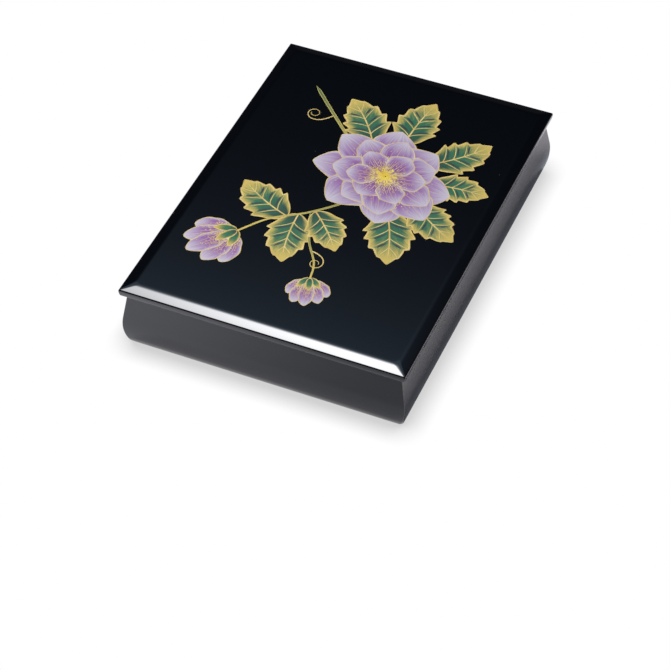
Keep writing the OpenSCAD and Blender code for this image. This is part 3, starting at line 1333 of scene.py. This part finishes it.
@dataclass
class LidSpray:
    """A climbing spray on the lid: a double bloom, half-open buds, toothed leaves and a curling stem."""

    finishes: Finishes
    bloom: Bloom = field(default_factory=Bloom)
    leaves: list[Blade] = field(default_factory=leaf_blades)
    sepals: list[Blade] = field(default_factory=sepal_blades)
    buds: list[Blade] = field(default_factory=bud_blades)
    top: float = field(default_factory=lambda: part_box("lid_board")[1].z - RELIEF * MM)
    # Midrib and side veins of a leaf: where they end and what they run, as shares of its size
    midrib_end: float = 0.97
    vein_tips: tuple[float, ...] = (0.37, 0.54, 0.71, 0.88)
    vein_run: Point = (0.19, 0.93)
    # Gold ribs of a petal: share of its half width, and where they end along it
    petal_ribs: tuple[Point, ...] = ((0.0, 0.88), (-0.32, 0.74), (0.32, 0.74), (-0.6, 0.56), (0.6, 0.56))
    rib_start: float = 0.03

    def build(self) -> None:
        """Builds every layer of the spray from the ground up."""
        petals = self.bloom.blades() + self.buds
        self.films("painted_leaves", self.leaves + self.sepals, self.finishes.leaf)
        self.films("painted_petals", petals, self.finishes.petal)
        self.stems()
        self.gold_lines(petals)
        self.ink_veins()
        self.stipple(petals)
        self.heart()

    def tubes(self, rows: Array, uv: Array | float = 0.0, tone: Array | float = 0.0) -> Tubes:
        """Ring rows in millimetres with heights of up to 1, set on the lid with RELIEF as that height."""
        points = rows * np.array([MM, MM, RELIEF * MM]) + np.array([0.0, 0.0, self.top])
        return Tubes(points, uv=uv, tone=np.reshape(tone, (-1, 1, 1, 1)))

    def lines(self, name: str, slot: Slot, groups: list[Array], material: Material) -> None:
        """One piece of raised lines."""
        make_piece(name, Body.LID, [self.tubes(rows) for rows in groups], [material], Edge.LINE)

    def films(self, name: str, blades: list[Blade], material: Material) -> None:
        """One piece of painted films.

        Args:
            name: the piece's name.
            blades: its petals or leaves.
            material: their pigment.
        """
        points, uv = (np.stack(some) for some in zip(*(b.film() for b in blades)))
        tubes = self.tubes(points, uv, np.array([b.tone for b in blades]))
        make_piece(name, Body.LID, [tubes], [material], Edge.BROAD)

    def stems(self, count: int = 90) -> None:
        """Painted stems with a round back, under the bloom: the main stem, its foot and a side shoot.

        Args:
            count: points on each stem.
        """
        knots = (
            [(-78, 122), (-48, 92), (-20, 66), (22, 36)],
            [(22, 36), (8, 0), (-18, -28), (-46, -48), (-65, -72)],
            [(-18, -28), (-5, -60), (9, -82), (13.5, -100)],
        )
        widths = np.array([3.2, 2.4, 2.0])[:, None]
        t = np.linspace(0.0, 1.0, count)
        paths = np.stack([smooth_path(k, count) for k in knots])
        taken = (1.0 - 0.2 * t) * np.minimum(0.2 + 14 * t, 1.0)
        rows = strokes(paths, widths * taken, level=0.1, rise=0.08)
        v, u = np.meshgrid([0.0, 0.0, 0.2, 0.5, 0.8, 1.0, 1.0], t)
        tubes = self.tubes(rows, np.stack([u, v], axis=-1), np.linspace(0.1, 0.9, len(paths)))
        make_piece("painted_stems", Body.LID, [tubes], [self.finishes.stem], Edge.SOFT)

    def gold_lines(self, petals: list[Blade]) -> None:
        """Gold outlines of every film, midribs and side veins of leaves, ribs of petals, and tendrils.

        Args:
            petals: petals of bloom and buds.
        """
        u = np.linspace(0.0, 1.0, FILM_ROWS)
        t = np.linspace(0.0, 1.0, LINE_POINTS)
        swell = np.sin(math.pi * u ** 1.6) ** 2
        groups = []
        for blades, thin, thick in ((self.leaves, 0.8, 1.7), (self.sepals, 0.5, 0.8), (petals, 0.5, 0.8)):
            paths = np.stack([b.place(u, np.full(FILM_ROWS, v)) for b in blades for v in SIDES])
            level = np.repeat([b.level for b in blades], len(SIDES))[:, None]
            groups.append(strokes(paths, thin + (thick - thin) * swell, level, rise=0.06))
        midrib = taper(FILM_ROWS, thick=1.3, first=1.0)
        vein = taper(LINE_POINTS, thick=0.8, first=0.8)
        rib = taper(LINE_POINTS, thick=0.5, first=1.0)
        run, out = self.vein_run
        groups.append(lines_on([(b, self.midrib_end * u, 0 * u, midrib) for b in self.leaves]))
        groups.append(lines_on([(b, tip - run + run * t ** 0.85, side * out * t, vein)
                                for b in self.leaves for tip in self.vein_tips for side in SIDES]))
        groups.append(lines_on([(b, self.rib_start + (end - self.rib_start) * t, np.full(LINE_POINTS, v), rib)
                                for b in petals for v, end in self.petal_ribs]))
        curls = tendrils()
        groups.append(strokes(curls, np.linspace(1.2, 0.5, curls.shape[1]), level=0.0, rise=0.09))
        self.lines("gold_lines", Slot.GOLD, groups, self.finishes.gold)

    def ink_veins(self) -> None:
        """Dark dabs before the side veins of the leaves, save the last pair, wider on longer leaves."""
        width, usual_length = 1.5, 52
        run, near, out = 0.1, 0.14, 0.52
        t = np.linspace(0, 1, DAB_POINTS)
        swell = width * np.sin(math.pi * np.linspace(0.06, 0.96, DAB_POINTS)) ** 0.8
        rows = lines_on([(b, tip - run + run * t, side * (near + out * t), swell * b.length / usual_length)
                         for b in self.leaves for tip in self.vein_tips[:-1] for side in SIDES], rise=0.03)
        self.lines("ink_veins", Slot.PIGMENT, [rows], self.finishes.ink)

    def stipple(self, petals: list[Blade]) -> None:
        """Rows of gold dabs that thin out and get smaller from the base of each petal towards its tip.

        Args:
            petals: the petals.
        """
        rng = np.random.default_rng(5)
        first, last, thinning = 0.2, 0.72, 1.5
        stray_u, stray_v = 0.018, 0.05
        length, width, usual_petal, near_size = 2.5, 1.15, 54, 1.25
        v, u = np.meshgrid([-0.74, -0.46, -0.16, 0.16, 0.46, 0.74], np.linspace(first, last, 11))
        u, v = u.ravel(), v.ravel()
        made = []
        for b in petals:
            keep = rng.uniform(0, 1, u.size) > (u - first) * thinning
            uu = (u + rng.uniform(-stray_u, stray_u, u.size))[keep]
            vv = (v + rng.uniform(-stray_v, stray_v, u.size))[keep]
            here = b.place(uu, vv)
            heading = bearing(b.place(uu + 0.01, vv) - here)
            size = (b.length / usual_petal) ** 0.5 * (near_size - uu)
            made.append(dashes(here, heading, length * size, width * size, b.ground(uu, vv)))
        self.lines("gold_stipple", Slot.GOLD, [np.concatenate(made)], self.finishes.gold)

    def heart(self) -> None:
        """Stamens, their anthers and the seeds in the middle of the bloom."""
        paths = self.bloom.stamens()
        level = self.bloom.level + self.bloom.ring_rise * len(self.bloom.rings)
        tip = paths[:, -1]
        groups = [
            strokes(paths, np.linspace(0.7, 0.4, DAB_POINTS), level, rise=0.06),
            dashes(tip, bearing(tip - paths[:, -2]), length=2.4, width=1.4, level=level + 0.03),
            dashes(*self.bloom.seeds(), length=1.6, width=1.2, level=level + 0.05),
        ]
        self.lines("pollen_heart", Slot.GOLD, groups, self.finishes.pollen)


# The studio

@dataclass(frozen=True)
class Lamp:
    """A square soft light aimed at the box."""

    name: str
    at: Triple
    size: float
    watts: float

    def build(self) -> None:
        """Makes the light, which shows neither to the camera nor in the lacquer."""
        data = bpy.data.lights.new(self.name, "AREA")
        data.shape = "SQUARE"
        data.size = self.size
        data.energy = self.watts
        light = bpy.data.objects.new(self.name, data)
        bpy.context.scene.collection.objects.link(light)
        light.visible_camera = False
        light.visible_glossy = False
        light.location = self.at
        light.rotation_euler = (-light.location).to_track_quat("-Z", "Y").to_euler()


@dataclass
class Studio:
    """Camera, floor and lights. A field that ends in x or y is the range over which something sets in."""

    azimuth: float = 24.158
    elevation: float = 46.207
    roll: float = -1.01
    aside: float = -7.975 * MM
    above: float = -70.363 * MM
    distance: float = 1984.3 * MM
    lens: float = 124.467
    sensor: float = 36.0
    panel_at: Triple = (-0.262, 0.281, 0.923)
    panel_spread: float = 8.0
    panel_light: float = 25.0
    panel_tint: Triple = (0.98, 0.985, 1.0)
    surround: Colour = (0.5, 0.68, 0.94, 1.0)
    surround_reach: float = 22.3
    surround_fade: float = 2.2
    surround_squeeze: float = 0.6
    dark: Colour = (0.01, 0.014, 0.024, 1.0)
    haze: float = 0.4
    haze_height: float = 0.12
    haze_tint: Triple = (1.0, 0.98, 0.97)
    floor_half: float = 6.0
    floor_pale: Colour = (0.735, 0.73, 0.785, 1.0)
    # Painted light: a paler, warmer colour that the floor takes to the right of the box.
    warm_painted_light: Colour = (0.95, 0.87, 0.87, 1.0)
    # Painted shade: the dim colour that the floor goes towards where less light is painted on it.
    painted_shade_colour: Colour = (0.36, 0.365, 0.4, 1.0)
    warm_painted_light_x: Point = (0.11, 0.165)
    # Painted light and shade before the box: bright on the left and darker to the right, with a faint
    # cloudiness.
    painted_shade_x: Point = (-0.19, 0.1)
    painted_shade_y: Point = (-0.22, -0.15)
    painted_shade_left: float = 0.38
    painted_shade_least: float = 0.36
    cloud: float = 0.05
    # Painted contact shadow in reflections: deepest at the foot and falling off with distance, less deep on the
    # right.
    foot_half: Triple = (118 * MM, 163 * MM, 1.0)
    foot_fall: float = 60.0
    painted_foot_shadow: float = 0.42
    painted_foot_shadow_right: float = 0.09
    foot_x: Point = (0.108, 0.124)
    # Painted light that the floor gives off in reflections under the front foot, though it is no lamp.
    painted_foot_glow: float = 0.6
    painted_glow_y: Point = (-0.164, -0.16)
    painted_glow_reach: Point = (5 * MM, 10 * MM)
    # Painted soft shadow round the foot, on the floor as the camera sees it.
    painted_shadow_reach: float = 21 * MM
    painted_shadow_open: Point = (0.45, 0.98)
    painted_shadow_low: float = 0.64
    lamps: tuple[Lamp, ...] = (
        Lamp("key", (-1.0, -0.7, 1.83), 0.9, 80.0),
        Lamp("fill", (1.1, -1.7, 1.7), 1.8, 20.0),
    )

    def build(self) -> None:
        """Makes the camera, the floor, the lamps and the dark room with its overhead panel."""
        self.camera()
        self.floor()
        for lamp in self.lamps:
            lamp.build()
        self.room()
        bpy.context.scene.view_settings.view_transform = "Standard"

    def camera(self) -> None:
        """A long lens on the front right, its axes worked out from azimuth, elevation and roll."""
        a, e, r = np.radians([self.azimuth, self.elevation, self.roll])
        back = np.array([math.sin(a) * math.cos(e), -math.cos(a) * math.cos(e), math.sin(e)])
        level = np.array([math.cos(a), math.sin(a), 0.0])
        rise = np.cross(back, level)
        right = level * math.cos(r) + rise * math.sin(r)
        up = rise * math.cos(r) - level * math.sin(r)
        data = bpy.data.cameras.new("camera")
        data.lens = self.lens
        data.sensor_width = self.sensor
        camera = bpy.data.objects.new("camera", data)
        bpy.context.scene.collection.objects.link(camera)
        at = right * self.aside + up * self.above + back * self.distance
        place = np.eye(4)
        place[:3] = np.column_stack([right, up, back, at])
        camera.matrix_world = Matrix(place.tolist())
        bpy.context.scene.camera = camera

    def floor(self) -> None:
        """A wide pale floor with a faint cloudiness.

        In reflections its colour carries painted light and shade: a painted fall of light that dims from left
        to right before the box, painted light that makes it paler and warmer on the right, and a painted
        contact shadow whose depth falls off as exp(-foot_fall d) at a distance d from the box, less deep on the
        right.
        Before the front its last 10 mm give off painted light that shines up under the foot. The camera sees it
        white, with a painted soft shadow round the foot.
        """
        half = self.floor_half
        mesh = bpy.data.meshes.new("floor")
        corners = [(-half, -half, 0), (half, -half, 0), (half, half, 0), (-half, half, 0)]
        mesh.from_pydata(corners, [], [(0, 1, 2, 3)])
        floor = bpy.data.objects.new("floor", mesh)
        bpy.context.scene.collection.objects.link(floor)
        g = MaterialGraph("pale_floor")
        place = g.place()
        x, y, _ = g.axes(place)
        # Painted light and shade: before the box the floor goes from bright on the left to the dim colour on
        # the right, elsewhere it is a third of the way to it.
        across = g.math("SUBTRACT", g.ramp(x, *self.painted_shade_x), self.painted_shade_left)
        even = g.math("MULTIPLY_ADD", g.noise(place, 3.0), self.cloud, self.painted_shade_least)
        shade = g.math("MULTIPLY_ADD", across, g.ramp(y, *self.painted_shade_y, 1.0, 0.0), even)
        # Painted contact shadow: the floor darkens with nearness to the foot, less so on the right.
        beyond = g.vector("SUBTRACT", g.vector("ABSOLUTE", place), self.foot_half)
        far = g.vector("LENGTH", g.vector("MAXIMUM", beyond, (0.0, 0.0, 0.0)))
        depth = g.ramp(x, *self.foot_x, self.painted_foot_shadow, self.painted_foot_shadow_right)
        near = g.times(g.math("EXPONENT", g.times(far, -self.foot_fall)), depth)
        # Painted light: in reflections the floor gives off light under the front foot, though it is no lamp.
        painted_glow = g.times(g.ramp(y, *self.painted_glow_y, self.painted_foot_glow, 0.0), g.ramp(far, *self.painted_glow_reach, 1.0, 0.0))
        # Painted light: to the right of the box the floor is paler and warmer.
        painted_right_light = g.mix(g.ramp(x, *self.warm_painted_light_x), self.floor_pale, self.warm_painted_light)
        lit = g.mix(near, g.mix(shade, painted_right_light, self.painted_shade_colour), BLACK)
        seen = g.add("LightPath").outputs["Is Camera Ray"]
        # Painted shadow: as the camera sees it the floor gives off white light, darkened round the foot by
        # ambient occlusion.
        sky = g.add("AmbientOcclusion", {"Distance": self.painted_shadow_reach}, samples=16).outputs["AO"]
        painted_shadow = g.ramp(sky, *self.painted_shadow_open, self.painted_shadow_low, 1.0, "LINEAR")
        unseen = g.times(g.math("SUBTRACT", 1.0, seen), painted_glow)
        g.put({"Base Color": g.mix(seen, lit, BLACK), "Roughness": 0.9, "Specular IOR Level": 0.0,
               "Emission Color": WHITE, "Emission Strength": g.math("MULTIPLY_ADD", seen, painted_shadow, unseen)})
        mesh.materials.append(g.material)

    def from_panel(self, g: Graph, way: Socket, squeeze: float) -> Socket:
        """Angle in degrees between a direction and the panel's middle, both squeezed along X first.

        Args:
            g: the room's graph.
            way: the direction.
            squeeze: the share of X that is left.

        Returns:
            The angle's socket.
        """
        scale = np.array([squeeze, 1.0, 1.0])
        middle = self.panel_at * scale / np.linalg.norm(self.panel_at * scale)
        aim = g.vector("NORMALIZE", g.vector("MULTIPLY", way, scale.tolist()))
        return g.times(g.math("ARCCOSINE", g.vector("DOT_PRODUCT", aim, middle.tolist())), 180 / math.pi)

    def room(self) -> None:
        """A dark room with a bright panel nearly overhead.

        Brightness by angle t from the panel's middle: light exp(-(t / spread)^2), plus a dim surround, wider
        along X, that beyond its reach fades as exp((reach - t) / fade), plus a haze that fades from the
        horizon up as exp(-rise / haze_height). The camera itself sees a white backdrop.
        """
        world = bpy.data.worlds.new("room")
        bpy.context.scene.world = world
        world.use_nodes = True
        g = Graph(world.node_tree)
        way = g.add("TexCoord").outputs["Generated"]
        share = g.math("DIVIDE", self.from_panel(g, way, 1.0), self.panel_spread)
        core = g.math("EXPONENT", g.times(g.times(share, share), -1.0))
        inside = g.math("SUBTRACT", self.surround_reach, self.from_panel(g, way, self.surround_squeeze))
        fade = g.math("MINIMUM", g.math("DIVIDE", inside, self.surround_fade), 0.0)
        dim = g.mix(g.math("EXPONENT", fade), self.dark, self.surround)
        panel = g.vector("MULTIPLY", g.times(core, self.panel_light), self.panel_tint)
        low = g.math("EXPONENT", g.math("DIVIDE", g.math("ABSOLUTE", g.axes(way)[2]), -self.haze_height))
        haze = g.vector("MULTIPLY", g.times(low, self.haze), self.haze_tint)
        whole = g.vector("ADD", g.vector("ADD", dim, panel), haze)
        seen = g.add("LightPath").outputs["Is Camera Ray"]
        g.feed(world.node_tree.nodes["Background"].inputs["Color"], g.mix(seen, whole, WHITE))


def main() -> None:
    """Builds the studio, the box, the lid and its spray."""
    logging.basicConfig(level=logging.INFO, format="%(name)s: %(message)s")
    Studio().build()
    finishes = Finishes()
    DocumentBox(finishes).build()
    BoxLid(finishes).build()
    LidSpray(finishes).build()


if __name__ == "__main__":
    main()
